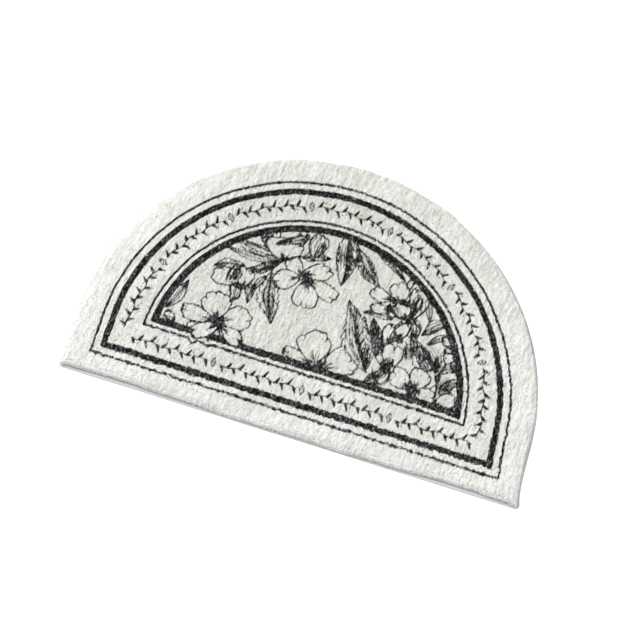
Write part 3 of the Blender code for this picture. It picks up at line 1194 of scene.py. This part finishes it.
def bake_map(piece, count):
    """A UV map named OFBake for baking: each yarn end lies spread out flat in a square of its own,
    its tip in the middle, its belly round that and its root at the rim."""
    side = int(np.ceil(np.sqrt(count)))
    spoke = np.arange(3) * 2 * np.pi / 3
    ring = np.stack([np.cos(spoke), np.sin(spoke)], -1)
    flat = np.concatenate([0.47 * ring, 0.26 * ring, np.zeros((1, 2))])
    cell = np.stack(np.divmod(np.arange(count), side), -1)[:, None]
    uv = (cell + 0.5 + flat) / side
    corners = uv[:, END_FACES].reshape(-1, 2)
    layer = piece.data.uv_layers.new(name="OFBake")
    layer.data.foreach_set("uv", corners.astype(np.float32).ravel())


for n in range(STRIPS):
    chosen = strip_of == n
    count = int(chosen.sum())
    faces = (np.arange(count)[:, None, None] * 7 + END_FACES).reshape(-1, 3)
    strip = make_piece(
        f"pile_strip_{n + 1}",
        points[chosen].reshape(-1, 3),
        faces,
        pile_material,
        {
            "ink": end_ink[chosen],
            "up_the_end": up_the_end[chosen],
            "tone": np.repeat(end_tone_with_painted_light[chosen], 7),
            "washed": np.repeat(end_wash[chosen], 7),
        },
        smooth=[False] * len(ROOT_FACE + SIDE_FACES) + [True] * len(CAP_FACES),
    )
    bake_map(strip, count)
    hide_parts("plush_panel")

# %% [markdown]
# # The binding tape
#
# The raw edge is bound with a tape of woven polyester, folded round it and sewn through. It could
# be a curve with a bevel, but its section isn't round: a soft outer fold, a flat top with a shallow
# groove where the stitches pull it down, and an inner edge under the pile. So the section is a
# short table, and it is carried along the outline as whole arrays, with small puckers between the
# stitches.

# %% The tape's section, carried along the outline
TAPE_SECTION = (
    # step in from the outer edge, height, how much it puckers
    (0.0110, 0.0000, 0.0),
    (0.0060, 0.0000, 0.0),
    (0.0016, 0.0000, 0.0),
    (0.0005, 0.0004, 0.1),
    (0.0000, 0.0013, 0.3),
    (0.0001, 0.0023, 0.5),
    (0.0006, 0.0032, 0.8),
    (0.0015, 0.0039, 1.0),
    (0.0028, 0.0043, 1.0),
    (0.0042, 0.0044, 0.7),
    (0.0053, 0.0040, 0.2),
    (0.0060, 0.0037, 0.0),
    (0.0067, 0.0040, 0.2),
    (0.0078, 0.0044, 0.5),
    (0.0095, 0.0045, 0.2),
    (0.0110, 0.0044, 0.0),
)
TAPE_STEP = 0.0022
STITCH_PITCH = 0.0041
PUCKER = 0.00022

stretch, along = walk(TAPE_STEP)
edge_x, edge_y = outline(0.0, stretch, along)
run = np.concatenate([[0], np.cumsum(np.hypot(np.diff(edge_x), np.diff(edge_y)))])
tape_length = run[-1] + np.hypot(edge_x[0] - edge_x[-1], edge_y[0] - edge_y[-1])
section = np.array(TAPE_SECTION)
pucker = field(run, 0 * run, 0.006, 41) + 0.6 * field(run, 0 * run, 0.0026, 42)
wobble = 0.00025 * (1 + field(run, 0 * run, 0.03, 43))
inset_grid = section[:, 0:1] + wobble * (section[:, 0:1] < 0.008)
tape_x, tape_y = outline(inset_grid, stretch, along)
tape_z = section[:, 1:2] + PUCKER * section[:, 2:3] * pucker
tape_z = np.clip(tape_z, 0, TAPE_HEIGHT + 0.0002)
tape_points = np.stack([tape_x, tape_y, tape_z], -1).reshape(-1, 3)
around = len(stretch)
rings = len(TAPE_SECTION)
tape_faces = ring_faces(around, rings + 1) % (around * rings)  # the last ring joins the first
print("tape is", round(tape_length, 3), "m long")

# %% [markdown]
# # Woven tape
#
# The tape is a plain polyester ribbon: smoother than the pile, pale grey, with fine ribs that run
# across it. The ribs are drawn at 0.9 mm, twice their real size, because finer ones would vanish.
# The material reads the way along and across the tape from the tape's own numbers.

# %% The tape's material
RIB_MM = 0.9
SECTION_MM = 1.6  # about how far apart the section's points lie on the tape
WAVE_REPEAT = 0.314  # a Wave texture of scale 1 repeats after this much, 2 pi over 20
SOIL_SCALE = 0.12  # for each millimetre, so a faint stain is about 8 mm wide
tape_material, tree, shader = new_material("woven_polyester_tape", 0.62, 0.12, 0.35)
run_mm = add_node(tree, "ShaderNodeAttribute", attribute_name="along_mm").outputs["Fac"]
across_mm = add_node(tree, "ShaderNodeAttribute", attribute_name="across_mm").outputs["Fac"]
weave_place = add_node(tree, "ShaderNodeCombineXYZ", {"X": run_mm, "Y": across_mm})
ribs = add_node(
    tree,
    "ShaderNodeTexWave",
    {
        "Vector": weave_place.outputs[0],
        "Scale": WAVE_REPEAT / RIB_MM,
        "Distortion": 0.6,
        "Detail": 1.0,
    },
).outputs["Fac"]
soil = add_node(
    tree, "ShaderNodeTexNoise", {"Vector": weave_place.outputs[0], "Scale": SOIL_SCALE, "Detail": 3.0}
).outputs["Fac"]
# painted shade: the grooves between the ribs are darker than the crowns, as the bump's height sets both
ribs_with_groove_shade = add_node(
    tree,
    "ShaderNodeMix",
    {"Factor": ribs, 6: linear("C9C9CB"), 7: linear("E2E2E4")},
    data_type="RGBA",
).outputs[2]
worn = add_node(
    tree, "ShaderNodeMix", {"Factor": soil, 6: ribs_with_groove_shade, 7: linear("D5D5D8")}, data_type="RGBA"
).outputs[2]
tree.links.new(worn, shader.inputs["Base Color"])
bump = add_node(tree, "ShaderNodeBump", {"Height": ribs, "Strength": 0.4, "Distance": 0.0002})
tree.links.new(bump.outputs["Normal"], shader.inputs["Normal"])

edge_tape = make_piece(
    "edge_tape",
    tape_points,
    tape_faces,
    tape_material,
    {
        "along_mm": np.tile(run * 1000, rings),
        "across_mm": np.repeat(np.arange(rings) * SECTION_MM, around),
    },
)
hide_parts("edge_binding")

# %% [markdown]
# # The stitches
#
# One row of lockstitch holds the tape. Each stitch is a short thread that dives into the cloth at
# both ends, so it is a bent tube: a half circle, flattened, with a small round section. One stitch
# is worked out, and the rest are the same points moved along the tape's groove.

# %% Make the stitches
STITCH_INSET = 0.0060
THREAD_RADIUS = 0.00034
STITCH_RISE = 0.0007
STITCH_Z = 0.0034
STITCH_SHARE = 0.84  # of the pitch, and between two stitches the thread is in the cloth
TUBE_SIDES = 6
TUBE_STEPS = 7

count = int(tape_length / STITCH_PITCH)
groove_x, groove_y = outline(STITCH_INSET, stretch, along)
middles = (np.arange(count) + 0.5) * run[-1] / count
centre_x, centre_y = np.interp(middles, run, groove_x), np.interp(middles, run, groove_y)
ahead_x = np.interp(middles + 0.001, run, groove_x) - np.interp(middles - 0.001, run, groove_x)
ahead_y = np.interp(middles + 0.001, run, groove_y) - np.interp(middles - 0.001, run, groove_y)
ahead_length = np.hypot(ahead_x, ahead_y)
ahead_x, ahead_y = ahead_x / ahead_length, ahead_y / ahead_length
bow = np.linspace(0.06, np.pi - 0.06, TUBE_STEPS)
turn = np.arange(TUBE_SIDES) * 2 * np.pi / TUBE_SIDES
way = -STITCH_SHARE / 2 * STITCH_PITCH * np.cos(bow)[:, None] + 0 * turn
side = THREAD_RADIUS * np.cos(turn) * np.sin(bow)[:, None] ** 0.3
lift = STITCH_RISE * np.sin(bow)[:, None] ** 0.6 + THREAD_RADIUS * np.sin(turn)
way, side, lift = way.ravel(), side.ravel(), lift.ravel()
stitch_points = np.stack(
    [
        centre_x[:, None] + ahead_x[:, None] * way - ahead_y[:, None] * side,
        centre_y[:, None] + ahead_y[:, None] * way + ahead_x[:, None] * side,
        np.broadcast_to(STITCH_Z + lift, (count, len(lift))),
    ],
    -1,
)
tube = ring_faces(TUBE_SIDES, TUBE_STEPS)
fan = np.array([(0, 3, 2, 1), (0, 5, 4, 3)])
caps = np.concatenate([fan, (TUBE_STEPS - 1) * TUBE_SIDES + fan[:, ::-1]])
one = np.concatenate([tube, caps])
stitch_faces = (np.arange(count)[:, None, None] * len(lift) + one).reshape(-1, 4)

TWIST_SCALE = 1500.0  # for each metre, so the twist shows as humps of about a third of a millimetre
thread_material, tree, shader = new_material("spun_polyester_thread", 0.7, 0.1, 0.3)
place = add_node(tree, "ShaderNodeTexCoord").outputs["Object"]
twist = add_node(tree, "ShaderNodeTexNoise", {"Vector": place, "Scale": TWIST_SCALE}).outputs["Fac"]
thread_colour = add_node(
    tree,
    "ShaderNodeMix",
    {"Factor": twist, 6: linear("C4C4C4"), 7: linear("E4E4E3")},
    data_type="RGBA",
).outputs[2]
tree.links.new(thread_colour, shader.inputs["Base Color"])
tape_stitches = make_piece(
    "tape_stitches", stitch_points.reshape(-1, 3), stitch_faces, thread_material
)

# %% [markdown]
# # Floor and light
#
# The rug is shown on white, lit softly from everywhere and a little more from the upper left. So
# the floor is a wide pale sheet, the world is white, a soft sun stands for a window at the upper
# left, and a lamp on the same side helps it to give the locks a light flank and a dark one.

# %% The floor
FLOOR_HALF = 6.0
floor_mesh = bpy.data.meshes.new("floor")
floor_mesh.from_pydata(
    [(-FLOOR_HALF, -FLOOR_HALF, -GAP), (FLOOR_HALF, -FLOOR_HALF, -GAP),
     (FLOOR_HALF, FLOOR_HALF, -GAP), (-FLOOR_HALF, FLOOR_HALF, -GAP)],
    [],
    [(0, 1, 2, 3)],
)
floor = bpy.data.objects.new("floor", floor_mesh)
bpy.context.scene.collection.objects.link(floor)
floor_material, tree, shader = new_material("matt_white_paper", 0.9, 0.0, 0.2)
shader.inputs["Base Color"].default_value = linear("FBFBFB")
shader.inputs["Emission Color"].default_value = (1, 1, 1, 1)
shader.inputs["Emission Strength"].default_value = 0.6
floor_mesh.materials.append(floor_material)

# %% The lights
world = bpy.data.worlds.new("soft_white")
bpy.context.scene.world = world
world.use_nodes = True
background = world.node_tree.nodes["Background"]
background.inputs["Color"].default_value = (1, 1, 1, 1)
background.inputs["Strength"].default_value = 0.55
bpy.context.scene.view_settings.view_transform = "Standard"

SUN_DIRECTION = Vector((1.0, -0.35, -0.95))
LAMP_PLACE = Vector((-1.25, 0.45, 0.95))


def hang_light(name, kind, energy, direction):
    """A light that shines along a direction."""
    light = bpy.data.objects.new(name, bpy.data.lights.new(name, kind))
    light.data.energy = energy
    light.rotation_mode = "QUATERNION"
    light.rotation_quaternion = direction.to_track_quat("-Z", "Y")
    bpy.context.scene.collection.objects.link(light)
    return light


sun = hang_light("window", "SUN", 2.25, SUN_DIRECTION)
sun.data.angle = np.radians(12)
lamp = hang_light("lamp", "AREA", 2.0, -LAMP_PLACE)
lamp.data.size = 0.5
lamp.location = LAMP_PLACE
print("lights:", sun.name, "and", lamp.name)

# %% [markdown]
#
# The panel is cut flat as a half moon and lies as it was cut.

# %% Walk the outline once more, at 2 mm
edge_x, edge_y = outline(0.0, *walk(0.002))
